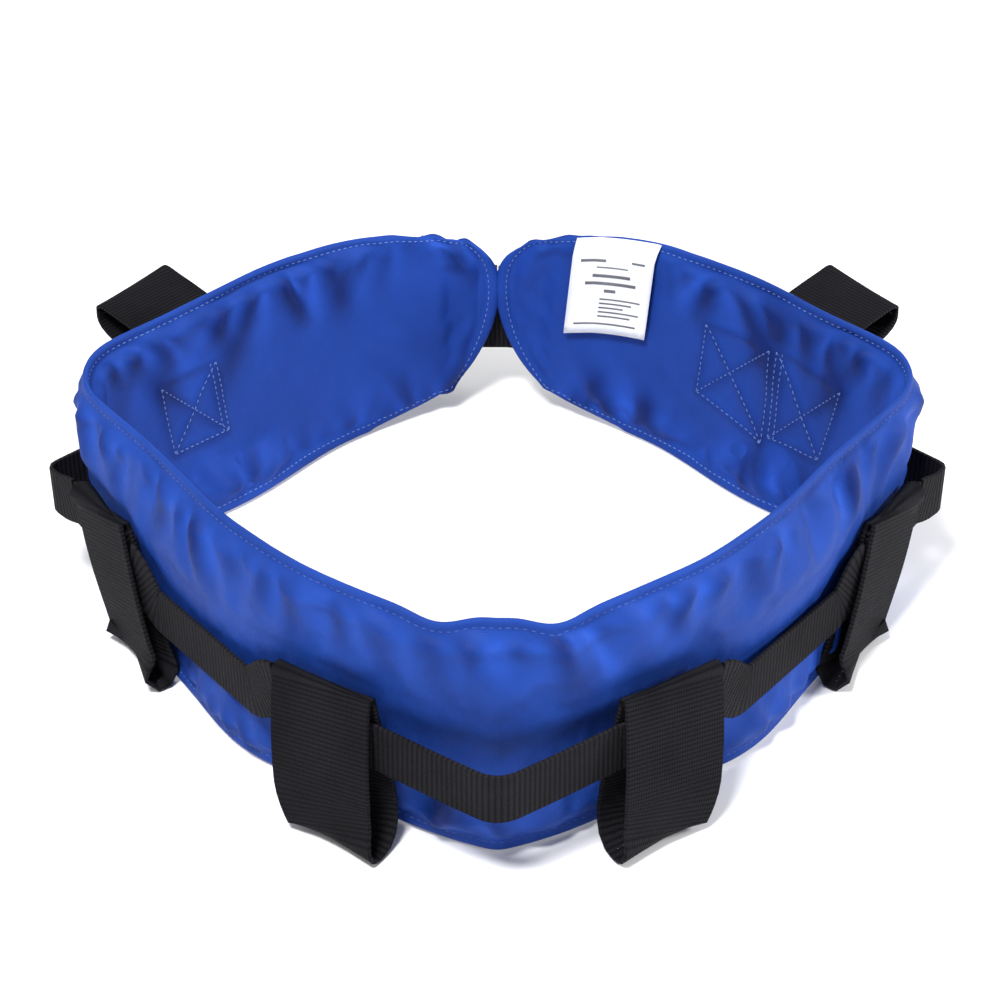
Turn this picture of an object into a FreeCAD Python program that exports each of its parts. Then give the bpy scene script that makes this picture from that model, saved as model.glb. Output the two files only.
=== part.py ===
import FreeCAD, Part
import math
import os

# Padded gait belt standing closed on its lower edge, millimetres, +Z up, front towards -Y.
# The left half is modelled along the plan line of its wall, and the right half mirrors it in X = 0.
# Distances "along" run from the front centre to the rear tip, and "out" is outward from mid wall.

os.makedirs("parts", exist_ok=True)
Vec = FreeCAD.Vector
UP = Vec(0, 0, 1)

# Padded wall
HEIGHT = 125.0
HALF_PAD = 5.5
FABRIC = 1.0
SEAM = 8.0
FIT = 0.2
FRONT_Y = -178.9
# The wall's plan: (length, turn in degrees) of each arc from the front centre to the rear tip
WALL = [(3, 18), (39, 13), (66, 6), (62, 17), (88, 3), (52, 73), (124, 8), (107.4, 26)]
SPLIT = 340.0
# The rear end tapers, then rounds off: outline seen from behind
TAPER_X = -94.0
NOSE_TOP_Z, NOSE_TOP_R = 78.0, 27.0
NOSE_LOW_Z, NOSE_LOW_R = 60.0, 41.0
TAPER_TOP, TAPER_LOW = 14.0, 10.6
REAR_Y, FAR = 60.0, 300.0

# Webbing
STRAP_WIDTH, STRAP_THICK = 25.0, 1.8
STRAP_Z = 61.0
STRAP_TOP = STRAP_Z + STRAP_WIDTH / 2
STRAP_OUT = 7.2
GAP = 0.4
BEND = 4.0
# Dips of the strap between handles, and its bends round the body
FRONT_DIP, SIDE_DIP = 8.0, 12.0
FRONT_BEND = 14.0
# The strap between front and side handles turns where the wall does
SIDE_TURN, SIDE_TURN_OUT, SIDE_BEND = 150.0, 9.0, 60.0
CORNER_RUN = 22.0
CORNER_LANDS, CORNER_LEAVES = 306.0, 338.0
REAR_LANDS, REAR_LEAVES = 424.0, 438.0
LEFT_TAIL, RIGHT_TAIL = 28.0, 62.0
# Below these, a run of webbing is too short and a corner too flat to be drawn
TINY, LEAST_TURN = 1e-4, 0.03
# An edge runs along X when its direction's X is above this
ALONG_X = 0.99

# Handles: loops of wider webbing hung over the strap and standing almost on the floor
HANDLE_WIDTH, HANDLE_THICK = 50.8, 2.2
HANDLE_HALF = HANDLE_WIDTH / 2 + GAP
HANDLE_DROP = STRAP_TOP - HANDLE_THICK / 2 - GAP
HANDLE_TIP_R, HANDLE_HEEL_R = 5.0, 8.0
# Stations: name, place along the wall, axis distance out, reach at the bottom, swing at rest in degrees
STATIONS = [
    ("front", 74.0, 14.0, 15.0, 0.0),
    ("side", 245.0, 9.4, 12.0, 0.0),
    ("rear", 386.0, 12.4, 13.0, 95.0),
]

# Side-release buckle, centred behind the rear tips
BUCKLE_Y = 197.0
BUCKLE_THICK, BUCKLE_HEIGHT, BUCKLE_EDGE_R = 12.0, 32.0, 3.0
SOCKET_LENGTH = 26.0
CAVITY_HEIGHT, CAVITY_THICK, CAVITY_DEPTH = 26.4, 7.0, 24.0
WINDOW_FROM, WINDOW_TO = -20.0, -7.0
BAR_X, BAR_R = 33.0, 2.0
LOCK_BAR_X = 22.0
RAIL_WIDTH = 3.2
PLUG_LENGTH, PLUG_THICK = 14.0, 10.0
TONGUE_WIDTH, TONGUE_THICK = 5.0, 4.4
# Prong outline: (distance in from the plug's face, distance from the buckle's middle)
PRONG = [(0.1, 7.0), (0.1, 11.0), (6.0, 11.4), (8.0, 12.6), (17.0, 12.6), (21.0, 9.0), (21.0, 6.4),
         (17.0, 7.4), (8.0, 8.6)]
TONGUE_LENGTH = 19.0
ROOT = 2.0

# Guard of webbing between the buckle and the rear tips, sewn to the right end
GUARD_WIDTH, GUARD_Z = 38.0, 51.0
GUARD_Y, GUARD_REACH, GUARD_BEND = 188.2, 27.0, 18.0
GUARD_SEWN, GUARD_TURN_X = 488.0, 7.0
GUARD_LIFT = 1.6

# Care label, sewn in the top seam at the rear right
LABEL_FROM, LABEL_TO = 449.0, 498.0
LABEL_LOW, LABEL_TOP = 60.0, 109.0
LABEL_THICK = 0.4


def place(along, out=0.0):
    """Point and heading of the left wall; heading 0 points along -X and 90 along +Y."""
    x, y, heading = 0.0, FRONT_Y, 0.0
    left = along
    for length, turn in WALL:
        part = min(left, length)
        bend = math.radians(turn) * part / length
        chord = part if bend == 0 else part * math.sin(bend / 2) / (bend / 2)
        x -= chord * math.cos(heading + bend / 2)
        y += chord * math.sin(heading + bend / 2)
        heading += bend
        left -= part
        if left <= 0:
            break
    return Vec(x - out * math.sin(heading), y - out * math.cos(heading), 0), heading


def stretches(start, end):
    """The arcs of the wall between two places along it."""
    marks = [start]
    total = 0.0
    for length, _ in WALL:
        total += length
        if start < total < end:
            marks.append(total)
    marks.append(end)
    return list(zip(marks[:-1], marks[1:]))


def arc_along(start, end, out):
    points = [place(along, out)[0] for along in (start, (start + end) / 2, end)]
    return Part.Arc(*points).toShape()


def prism(edges, low, high):
    face = Part.Face(Part.Wire(edges))
    solid = face.extrude(UP * (high - low))
    solid.translate(UP * low)
    return solid


def band(start, end, inner, outer, low, high):
    """A curved slab that follows the wall."""
    near = [arc_along(a, b, inner) for a, b in stretches(start, end)]
    far = [arc_along(a, b, outer) for a, b in stretches(start, end)]
    close_end = Part.makeLine(place(end, inner)[0], place(end, outer)[0])
    close_start = Part.makeLine(place(start, outer)[0], place(start, inner)[0])
    return prism(Part.__sortEdges__(near + far + [close_end, close_start]), low, high)


def wall_end():
    return sum(length for length, _ in WALL)


def rear_outline(inset):
    """Region kept at the rear: the wall's height, its taper and its rounded end."""
    top_c = Vec(-NOSE_TOP_R - FIT, REAR_Y, NOSE_TOP_Z)
    low_c = Vec(-NOSE_LOW_R - FIT, REAR_Y, NOSE_LOW_Z)
    top_r = NOSE_TOP_R - inset
    low_r = NOSE_LOW_R - inset

    def on_top(angle):
        return top_c + Vec(math.sin(angle), 0, math.cos(angle)) * top_r

    def on_low(angle):
        return low_c + Vec(math.sin(angle), 0, -math.cos(angle)) * low_r

    top_turn, low_turn = math.radians(TAPER_TOP), math.radians(TAPER_LOW)
    quarter = math.pi / 2
    far_x = TAPER_X - FAR
    top_left = Vec(TAPER_X, REAR_Y, HEIGHT - inset)
    low_left = Vec(TAPER_X, REAR_Y, inset)
    edges = [
        Part.makeLine(Vec(far_x, REAR_Y, HEIGHT - inset), top_left),
        Part.makeLine(top_left, on_top(top_turn)),
        Part.Arc(on_top(top_turn), on_top((top_turn + quarter) / 2), on_top(quarter)).toShape(),
        Part.makeLine(on_top(quarter), on_low(quarter)),
        Part.Arc(on_low(quarter), on_low((low_turn + quarter) / 2), on_low(low_turn)).toShape(),
        Part.makeLine(on_low(low_turn), low_left),
        Part.makeLine(low_left, Vec(far_x, REAR_Y, inset)),
        Part.makeLine(Vec(far_x, REAR_Y, inset), Vec(far_x, REAR_Y, HEIGHT - inset)),
    ]
    return Part.Face(Part.Wire(edges)).extrude(Vec(0, FAR, 0))


def pad(inner, outer, inset):
    """The padded wall's own outline, between two distances out, inset from its edge."""
    front = band(FIT, SPLIT, inner, outer, inset, HEIGHT - inset)
    rear = band(SPLIT, wall_end(), inner, outer, inset, HEIGHT - inset)
    return front.fuse(rear.common(rear_outline(inset))).removeSplitter()


def bent_only(points):
    """The points of a route without those that hardly turn it."""
    kept = [points[0]]
    for corner, after in zip(points[1:-1], points[2:]):
        if (corner - kept[-1]).getAngle(after - corner) > LEAST_TURN:
            kept.append(corner)
    return kept + [points[-1]]


def ribbon_face(route, radius, thickness):
    """A strip of webbing on edge in plan: straight runs joined by tangent arcs."""
    half = thickness / 2
    points = bent_only(route)
    runs = []
    start = points[0]
    for before, corner, after in zip(points[:-2], points[1:-1], points[2:]):
        into = (corner - before).normalize()
        away = (after - corner).normalize()
        turn = into.getAngle(away)
        trim = radius * math.tan(turn / 2)
        first, last = corner - into * trim, corner + away * trim
        middle = corner + (away - into).normalize() * (radius / math.cos(turn / 2) - radius)
        if start.distanceToPoint(first) > TINY:
            runs.append(("line", [start, first], [into, into]))
        runs.append(("arc", [first, middle, last], [into, (into + away).normalize(), away]))
        start = last
    direction = (points[-1] - start).normalize()
    runs.append(("line", [start, points[-1]], [direction, direction]))

    sides = []
    for sign in (1, -1):
        for kind, spots, headings in runs:
            moved = [p + UP.cross(h) * (half * sign) for p, h in zip(spots, headings)]
            edge = Part.makeLine(*moved) if kind == "line" else Part.Arc(*moved).toShape()
            sides.append(edge)
    ends = []
    for spot, heading in ((points[0], runs[0][2][0]), (points[-1], direction)):
        side = UP.cross(heading) * half
        ends.append(Part.makeLine(spot + side, spot - side))
    return Part.Face(Part.Wire(Part.__sortEdges__(sides + ends)))


def ribbon(points, radius=BEND, width=STRAP_WIDTH, middle=STRAP_Z):
    solid = ribbon_face(points, radius, STRAP_THICK).extrude(UP * width)
    solid.translate(UP * (middle - width / 2))
    return solid


def dipped(points, radius, dip):
    """Webbing that hangs lower between the handles at its two ends."""
    tall = ribbon(points, radius, STRAP_WIDTH + 2 * dip)
    left = min(points[0].x, points[-1].x) - STRAP_THICK
    right = max(points[0].x, points[-1].x) + STRAP_THICK

    def spot(x, z):
        return Vec(x, -FAR, z)

    def edge(z):
        return Part.Arc(spot(left, z), spot((left + right) / 2, z - dip), spot(right, z)).toShape()

    low = STRAP_TOP - STRAP_WIDTH
    ends = [Part.makeLine(spot(x, STRAP_TOP), spot(x, low)) for x in (left, right)]
    outline = Part.Wire(Part.__sortEdges__([edge(STRAP_TOP), edge(low)] + ends))
    return tall.common(Part.Face(outline).extrude(Vec(0, FAR, 0)))


class Station:
    """A handle's frame: axis point at the strap's top edge, run along the wall, and outward."""

    def __init__(self, name, along, out, reach, swing):
        self.name = name
        self.reach = reach
        self.back = out - HALF_PAD - GAP - HANDLE_THICK / 2
        self.swing = swing
        spot, heading = place(along, out)
        self.axis_point = spot + UP * STRAP_TOP
        self.run = Vec(-math.cos(heading), math.sin(heading), 0)
        self.out = Vec(-math.sin(heading), -math.cos(heading), 0)

    def plan(self, run):
        """Point of the strap's centre line in plan, some way along the handle's run."""
        return Vec(self.axis_point.x, self.axis_point.y, 0) + self.run * run

    def at(self, out, up):
        return self.axis_point + self.out * out + UP * up

    def pose(self, solid):
        solid.rotate(self.axis_point, self.run, self.swing)
        return solid


def handle_wire(station, shift):
    """Section of a hanging handle: folded over the strap, with a rounded tip and heel at the bottom.

    shift moves the outline outward (+) or inward (-) from the middle of the webbing."""
    fold = STRAP_THICK / 2 + FIT + HANDLE_THICK / 2
    fold_c = (0.0, 0.0)
    tip_c = (station.reach - HANDLE_TIP_R, HANDLE_TIP_R - HANDLE_DROP)
    heel_c = (HANDLE_HEEL_R - station.back, HANDLE_HEEL_R - HANDLE_DROP)

    def spot(centre, radius, angle):
        turn = math.radians(angle)
        return station.at(centre[0] + (radius + shift) * math.cos(turn),
                          centre[1] + (radius + shift) * math.sin(turn))

    def leaving(centre, radius, side):
        """Angle at which the straight side between the fold and a lower corner leaves the fold."""
        way = math.atan2(side * centre[0], -centre[1])
        return 90 - side * 90 + side * math.degrees(way - math.asin((fold - radius) / math.hypot(*centre)))

    outer = leaving(tip_c, HANDLE_TIP_R, 1)
    inner = leaving(heel_c, HANDLE_HEEL_R, -1)
    corners = [(fold_c, fold, inner, outer), (tip_c, HANDLE_TIP_R, outer, -90),
               (heel_c, HANDLE_HEEL_R, 270, inner)]
    edges = []
    for (centre, radius, start, end), following in zip(corners, corners[1:] + corners[:1]):
        middle = spot(centre, radius, (start + end) / 2)
        edges.append(Part.Arc(spot(centre, radius, start), middle, spot(centre, radius, end)).toShape())
        edges.append(Part.makeLine(spot(centre, radius, end), spot(following[0], following[1], following[2])))
    return Part.Wire(edges)


def handle(station):
    half = HANDLE_THICK / 2
    section = Part.Face(handle_wire(station, half)).cut(Part.Face(handle_wire(station, -half)))
    solid = section.extrude(station.run * HANDLE_WIDTH)
    solid.translate(station.run * (-HANDLE_WIDTH / 2))
    return station.pose(solid)


def strap_in_handle(station):
    half = HANDLE_WIDTH / 2
    solid = ribbon([station.plan(-half), station.plan(half)])
    return station.pose(solid)


def plan_at(along, out):
    return place(along, out)[0]


def box_about(x0, x1, thick, height, z=STRAP_Z):
    return Part.makeBox(x1 - x0, thick, height, Vec(x0, BUCKLE_Y - thick / 2, z - height / 2))


def bar(x, sign):
    centre = Vec(sign * x, BUCKLE_Y, STRAP_Z - BUCKLE_HEIGHT / 2)
    return Part.makeCylinder(BAR_R, BUCKLE_HEIGHT, centre, UP)


def rails(x0, x1):
    """The two side rails that carry a bar."""
    offset = (BUCKLE_HEIGHT - RAIL_WIDTH) / 2
    return [box_about(x0, x1, 2 * BAR_R, RAIL_WIDTH, STRAP_Z + side * offset) for side in (1, -1)]


def rounded(solid):
    """Round the edges of a buckle block that run along X."""
    edges = [e for e in solid.Edges if abs(e.tangentAt(e.FirstParameter).x) > ALONG_X]
    return solid.makeFillet(BUCKLE_EDGE_R, edges)


def socket():
    body = rounded(box_about(-SOCKET_LENGTH, 0, BUCKLE_THICK, BUCKLE_HEIGHT))
    body = body.cut(box_about(-CAVITY_DEPTH, ROOT, CAVITY_THICK, CAVITY_HEIGHT))
    body = body.cut(box_about(WINDOW_FROM, WINDOW_TO, CAVITY_THICK, BUCKLE_HEIGHT + ROOT))
    return body.multiFuse(rails(-BAR_X, ROOT - SOCKET_LENGTH) + [bar(BAR_X, -1)]).removeSplitter()


def plug():
    body = rounded(box_about(GAP, PLUG_LENGTH, PLUG_THICK, BUCKLE_HEIGHT))
    tongue = box_about(-TONGUE_LENGTH, ROOT, TONGUE_THICK, TONGUE_WIDTH)
    bars = [bar(BAR_X, 1), bar(LOCK_BAR_X, 1)]
    return body.multiFuse(rails(PLUG_LENGTH - ROOT, BAR_X) + bars + [tongue]).removeSplitter()


def prong(side):
    """A springy side arm with a thumb pad that shows in the socket's window."""
    points = [Vec(-x, BUCKLE_Y - TONGUE_THICK / 2, STRAP_Z + side * z) for x, z in PRONG]
    face = Part.Face(Part.makePolygon(points + points[:1]))
    return face.extrude(Vec(0, TONGUE_THICK, 0))


def rear_strap_left(station):
    """From the rear handle along the wall, then straight to the socket's bar and round it."""
    wrap = BAR_R + FIT + STRAP_THICK / 2
    axle = Vec(-BAR_X, BUCKLE_Y, 0)
    leave = plan_at(REAR_LEAVES, STRAP_OUT)
    way = axle - leave
    tilt = FreeCAD.Rotation(UP, math.degrees(math.asin(wrap / way.Length)))
    along = tilt.multVec(way.normalize())
    side = UP.cross(along)
    outer, inner = axle + side * wrap, axle - side * wrap
    points = [station.plan(HANDLE_HALF), plan_at(REAR_LANDS, STRAP_OUT), leave, outer + along * wrap,
              inner + along * wrap, inner - along * LEFT_TAIL]
    return ribbon(points, wrap)


def rear_strap_right(station):
    """From the rear handle along the wall, through the plug's adjuster, ending in a free tail."""
    wrap = BAR_R + FIT + STRAP_THICK / 2
    leave = plan_at(REAR_LEAVES, STRAP_OUT)
    low, high = BUCKLE_Y - wrap, BUCKLE_Y + wrap
    near, far = -BAR_X - wrap, wrap - LOCK_BAR_X
    points = [station.plan(HANDLE_HALF), plan_at(REAR_LANDS, STRAP_OUT), leave]
    points += [Vec(near, low, 0), Vec(far, low, 0), Vec(far, high, 0), Vec(near, high, 0)]
    back = (leave - Vec(near, low, 0)).normalize()
    return ribbon(points + [points[-1] + back * RIGHT_TAIL], wrap)


def strap_front(station):
    """The loose strap across the front, coming to a point at the centre."""
    meet = station.plan(-HANDLE_HALF)
    centre = meet - station.run * (meet.x / station.run.x)
    return dipped([meet, centre, Vec(-meet.x, meet.y, 0)], FRONT_BEND, FRONT_DIP)


def buckle_guard():
    sewn = plan_at(GUARD_SEWN, STRAP_OUT + GUARD_LIFT)
    points = [sewn, Vec(-GUARD_TURN_X, GUARD_Y, 0), Vec(GUARD_REACH, GUARD_Y, 0)]
    return ribbon(points, GUARD_BEND, GUARD_WIDTH, GUARD_Z)


def care_label():
    out = -HALF_PAD - FIT
    return band(LABEL_FROM, LABEL_TO, out - LABEL_THICK, out, LABEL_LOW, LABEL_TOP)


def mirrored(solid):
    return solid.mirror(Vec(0, 0, 0), Vec(1, 0, 0))


def build():
    stations = [Station(*row) for row in STATIONS]
    front, side, rear = stations
    shell = HALF_PAD - FABRIC
    stuffing = shell - FIT
    corner = [side.plan(HANDLE_HALF), side.plan(HANDLE_HALF + CORNER_RUN), plan_at(CORNER_LANDS, STRAP_OUT),
              plan_at(CORNER_LEAVES, STRAP_OUT), rear.plan(-HANDLE_HALF)]
    pairs = {
        "outer_cover": pad(0.0, HALF_PAD, 0.0).cut(pad(-FABRIC, shell, FABRIC)),
        "inner_lining": pad(-HALF_PAD, 0.0, 0.0).cut(pad(-shell, FABRIC, FABRIC)),
        "foam_core": pad(-stuffing, stuffing, SEAM + FIT),
        "seam_allowance": pad(-stuffing, stuffing, FABRIC + FIT).cut(pad(-HALF_PAD, HALF_PAD, SEAM)),
        "strap_side": dipped([front.plan(HANDLE_HALF), plan_at(SIDE_TURN, SIDE_TURN_OUT),
                              side.plan(-HANDLE_HALF)], SIDE_BEND, SIDE_DIP),
        "strap_corner": ribbon(corner),
    }
    for station in stations:
        pairs["handle_" + station.name] = handle(station)
        pairs["strap_in_handle_" + station.name] = strap_in_handle(station)

    nodes = {
        "strap_front": strap_front(front),
        "strap_rear_left": rear_strap_left(rear),
        "strap_rear_right": mirrored(rear_strap_right(rear)),
        "buckle_guard": mirrored(buckle_guard()),
        "buckle_socket": socket(),
        "buckle_plug": plug(),
        "buckle_prong_upper": prong(1),
        "buckle_prong_lower": prong(-1),
        "care_label": mirrored(care_label()),
    }
    for name, solid in pairs.items():
        nodes[name + "_left"] = solid
        nodes[name + "_right"] = mirrored(solid)
    return nodes


def main():
    nodes = build()
    whole = Part.makeCompound(list(nodes.values())).BoundBox
    shift = Vec(-(whole.XMin + whole.XMax) / 2, -(whole.YMin + whole.YMax) / 2, -whole.ZMin)
    for name, solid in nodes.items():
        solid.translate(shift)
        solid.exportStep("parts/" + name + ".step")
        print(name, len(solid.Solids), solid.isValid(), round(solid.Volume, 1))
    print("shift", shift)


main()
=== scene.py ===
import math
import random

import bmesh
import bpy
import numpy as np
from mathutils import Euler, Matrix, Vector, noise
from mathutils.bvhtree import BVHTree


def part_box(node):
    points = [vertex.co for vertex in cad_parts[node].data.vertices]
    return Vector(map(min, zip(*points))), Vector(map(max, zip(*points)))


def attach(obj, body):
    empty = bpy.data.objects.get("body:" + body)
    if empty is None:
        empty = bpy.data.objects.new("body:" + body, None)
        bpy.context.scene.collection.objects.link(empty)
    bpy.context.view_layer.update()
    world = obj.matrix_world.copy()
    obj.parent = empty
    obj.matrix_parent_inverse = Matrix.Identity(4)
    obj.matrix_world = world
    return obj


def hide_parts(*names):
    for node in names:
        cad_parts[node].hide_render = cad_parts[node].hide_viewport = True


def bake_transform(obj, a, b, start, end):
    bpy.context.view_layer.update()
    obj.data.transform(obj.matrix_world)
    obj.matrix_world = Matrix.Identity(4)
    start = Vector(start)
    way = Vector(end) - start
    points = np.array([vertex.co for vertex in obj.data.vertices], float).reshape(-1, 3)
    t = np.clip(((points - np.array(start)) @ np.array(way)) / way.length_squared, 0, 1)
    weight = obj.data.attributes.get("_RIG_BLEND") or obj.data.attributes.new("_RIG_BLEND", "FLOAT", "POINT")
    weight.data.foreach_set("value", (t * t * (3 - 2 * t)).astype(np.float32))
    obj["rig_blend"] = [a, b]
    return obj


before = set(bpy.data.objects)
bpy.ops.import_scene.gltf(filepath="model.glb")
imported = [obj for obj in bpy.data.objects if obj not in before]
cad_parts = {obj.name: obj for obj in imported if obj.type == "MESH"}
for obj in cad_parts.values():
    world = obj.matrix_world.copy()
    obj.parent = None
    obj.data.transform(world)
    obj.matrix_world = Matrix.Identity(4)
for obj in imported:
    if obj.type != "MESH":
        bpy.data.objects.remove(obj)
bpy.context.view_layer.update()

# Padded gait belt standing closed on its lower edge. Metres, front towards -Y.
# "Along" runs from the front centre to a rear tip, positive on the left half and negative on the right.
MM = 0.001
UP = Vector((0, 0, 1))

# ---------------------------------------------------------------- the wall's plan
HEIGHT = 125.0
FRONT_Y = -178.42
WALL = [(3, 18), (39, 13), (66, 6), (62, 17), (88, 3), (52, 73), (124, 8), (107.4, 26)]


def place(along, out=0.0):
    """Plan point (mm) and outward direction at a place along the wall."""
    x, y, heading = 0.0, FRONT_Y, 0.0
    left = abs(along)
    for length, turn in WALL:
        step = min(left, length)
        bend = math.radians(turn) * step / length
        chord = step if bend == 0 else step * math.sin(bend / 2) / (bend / 2)
        x -= chord * math.cos(heading + bend / 2)
        y += chord * math.sin(heading + bend / 2)
        heading += bend
        left -= step
        if left <= 0:
            break
    x -= left * math.cos(heading)
    y += left * math.sin(heading)
    side = -1.0 if along < 0 else 1.0
    outward = Vector((-side * math.sin(heading), -math.cos(heading), 0))
    return Vector((side * x, y, 0)) + outward * out, outward


def spot(along, out, z):
    """A point in metres, from its place along the wall, distance out and height in mm."""
    plan, _ = place(along, out)
    return Vector((plan.x, plan.y, z)) * MM


def smooth(t):
    t = min(max(t, 0.0), 1.0)
    return t * t * (3 - 2 * t)


# ---------------------------------------------------------------- materials
def rgb(r, g, b):
    """Linear colour from 0-255 sRGB."""
    return tuple((c / 255 / 12.92) if c / 255 <= 0.04045 else ((c / 255 + 0.055) / 1.055) ** 2.4
                 for c in (r, g, b)) + (1.0,)


class Shader:
    """A small helper that adds and links shader nodes."""

    def __init__(self, name, colour, roughness):
        self.material = bpy.data.materials.new(name)
        self.material.use_nodes = True
        self.tree = self.material.node_tree
        self.base = self.tree.nodes["Principled BSDF"]
        self.base.inputs["Base Color"].default_value = colour
        self.base.inputs["Roughness"].default_value = roughness
        self.material.diffuse_color = colour

    def node(self, kind, links=None, **settings):
        made = self.tree.nodes.new(kind)
        for key, value in settings.items():
            if hasattr(made, key):
                setattr(made, key, value)
            else:
                made.inputs[key.replace("_", " ")].default_value = value
        for socket, source in (links or {}).items():
            self.tree.links.new(source, made.inputs[socket])
        return made

    def math(self, operation, *values):
        made = self.node("ShaderNodeMath", operation=operation)
        for index, value in enumerate(values):
            if isinstance(value, (int, float)):
                made.inputs[index].default_value = value
            else:
                self.tree.links.new(value, made.inputs[index])
        return made.outputs[0]

    def noise(self, scale, detail=3.0, coordinate=None, roughness=0.5):
        vector = coordinate or self.node("ShaderNodeTexCoord").outputs["Object"]
        made = self.node("ShaderNodeTexNoise", {"Vector": vector}, Scale=scale, Detail=detail,
                         Roughness=roughness)
        return made.outputs["Fac"]

    def ramp(self, source, stops):
        made = self.node("ShaderNodeValToRGB", {"Fac": source})
        elements = made.color_ramp.elements
        while len(elements) < len(stops):
            elements.new(0.5)
        for element, (position, colour) in zip(elements, stops):
            element.position = position
            element.color = colour
        return made.outputs["Color"]

    def bump(self, height, strength, distance, normal=None):
        links = {"Height": height}
        if normal:
            links["Normal"] = normal
        made = self.node("ShaderNodeBump", links)
        made.inputs["Strength"].default_value = strength
        made.inputs["Distance"].default_value = distance
        return made.outputs["Normal"]

    def join(self, output, name):
        self.tree.links.new(output, self.base.inputs[name])


def cloth_material(name, dark, mid, light):
    """Plain-woven cover fabric: colour drift, a fine weave and a soft sheen, with painted shade in fold valleys
    and painted highlight on their swells from the 'fold' attribute.
    """
    s = Shader(name, mid, 0.62)
    coordinate = s.node("ShaderNodeTexCoord").outputs["Object"]
    drift = s.noise(9.0, 4.0, coordinate, 0.6)
    # the 'fold' attribute holds crease depth: it darkens the colour in valleys and lightens it on swells, as
    # painted shade and painted highlight
    fold = s.node("ShaderNodeAttribute", attribute_name="fold").outputs["Fac"]
    drift_and_painted_shading = s.math("ADD", s.math("MULTIPLY", drift, 0.6), s.math("MULTIPLY_ADD", fold, 0.14, 0.2))
    s.join(s.ramp(drift_and_painted_shading, [(0.2, dark), (0.5, mid), (0.8, light)]), "Base Color")
    weave_u = s.node("ShaderNodeTexWave", {"Vector": coordinate}, wave_type="BANDS", bands_direction="Z",
                     Scale=420.0, Distortion=1.2, Detail=1.0).outputs["Fac"]
    weave_v = s.node("ShaderNodeTexWave", {"Vector": coordinate}, wave_type="BANDS", bands_direction="X",
                     Scale=420.0, Distortion=1.2, Detail=1.0).outputs["Fac"]
    weave = s.math("MULTIPLY", weave_u, weave_v)
    slub = s.noise(260.0, 2.0, coordinate)
    crumple = s.noise(38.0, 5.0, coordinate, 0.62)
    normal = s.bump(crumple, 0.35, 0.004)
    normal = s.bump(s.math("ADD", weave, slub), 0.25, 0.0004, normal)
    s.join(normal, "Normal")
    s.join(s.math("MULTIPLY_ADD", slub, 0.16, 0.52), "Roughness")
    s.base.inputs["Sheen Weight"].default_value = 0.08
    s.base.inputs["Sheen Roughness"].default_value = 0.4
    s.base.inputs["Sheen Tint"].default_value = light
    s.base.inputs["Specular IOR Level"].default_value = 0.12
    return s.material


def webbing_material(name, dark, light, ribs, rows):
    """Ribbed webbing: ribs across its width, finer rows of yarn along it, with painted highlight on the high
    points and painted shade between them.
    """
    s = Shader(name, dark, 0.7)
    uv = s.node("ShaderNodeUVMap", uv_map="weave").outputs["UV"]
    split = s.node("ShaderNodeSeparateXYZ", {"Vector": uv})
    rib = s.math("ABSOLUTE", s.math("SINE", s.math("MULTIPLY", split.outputs["X"], ribs)))
    row = s.math("ABSOLUTE", s.math("SINE", s.math("MULTIPLY", split.outputs["Y"], rows)))
    both = s.math("ADD", s.math("MULTIPLY", rib, 0.7), s.math("MULTIPLY", row, 0.3))
    fuzz = s.noise(900.0, 2.0)
    height = s.math("ADD", both, s.math("MULTIPLY", fuzz, 0.35))
    drift = s.noise(30.0, 3.0)
    # colour follows the rib and row height: painted highlight on the high points, painted shade in the grooves,
    # times random drift
    drift_and_painted_shading = s.math("MULTIPLY", height, s.math("ADD", drift, 0.35))
    s.join(s.ramp(drift_and_painted_shading, [(0.2, dark), (1.0, light)]), "Base Color")
    s.join(s.bump(height, 0.9, 0.0006), "Normal")
    s.join(s.math("ADD", s.math("MULTIPLY", fuzz, 0.2), 0.55), "Roughness")
    s.base.inputs["Specular IOR Level"].default_value = 0.04
    return s.material


def thread_material(name, colour):
    s = Shader(name, colour, 0.55)
    twist = s.node("ShaderNodeTexWave", wave_type="BANDS", bands_direction="DIAGONAL",
                   Scale=900.0).outputs["Fac"]
    s.join(s.bump(twist, 0.5, 0.0002), "Normal")
    s.join(s.ramp(s.noise(300.0), [(0.2, tuple(c * 0.75 for c in colour[:3]) + (1,)), (0.8, colour)]),
           "Base Color")
    return s.material


def plastic_material(name, colour):
    """Moulded plastic: fine spark texture and faint scuffs."""
    s = Shader(name, colour, 0.42)
    grain = s.noise(1400.0, 2.0)
    scuff = s.noise(60.0, 6.0, None, 0.7)
    s.join(s.bump(grain, 0.25, 0.0002), "Normal")
    s.join(s.math("ADD", s.math("MULTIPLY", scuff, 0.3), 0.28), "Roughness")
    light = tuple(min(1.0, c * 2.2 + 0.01) for c in colour[:3]) + (1,)
    s.join(s.ramp(scuff, [(0.45, colour), (0.85, light)]), "Base Color")
    return s.material


def label_material(name):
    """Satin label tape with a fine weave."""
    s = Shader(name, rgb(232, 234, 234), 0.5)
    weave = s.node("ShaderNodeTexWave", wave_type="BANDS", bands_direction="Z", Scale=600.0).outputs["Fac"]
    s.join(s.bump(weave, 0.2, 0.0002), "Normal")
    s.join(s.ramp(s.noise(25.0), [(0.3, rgb(240, 242, 244)), (0.7, rgb(250, 250, 250))]), "Base Color")
    return s.material


# the cover's dark and light stops take random drift and, from the 'fold' attribute, painted shade in valleys and
# painted highlight on swells
COVER = cloth_material("cover_cloth", rgb(12, 34, 96), rgb(24, 58, 138), rgb(36, 76, 172))
THREAD = thread_material("topstitch_thread", rgb(104, 136, 204))
DEEP_THREAD = thread_material("outer_stitch_thread", rgb(58, 90, 172))
GREY_THREAD = thread_material("handle_thread", rgb(96, 96, 102))
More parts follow.
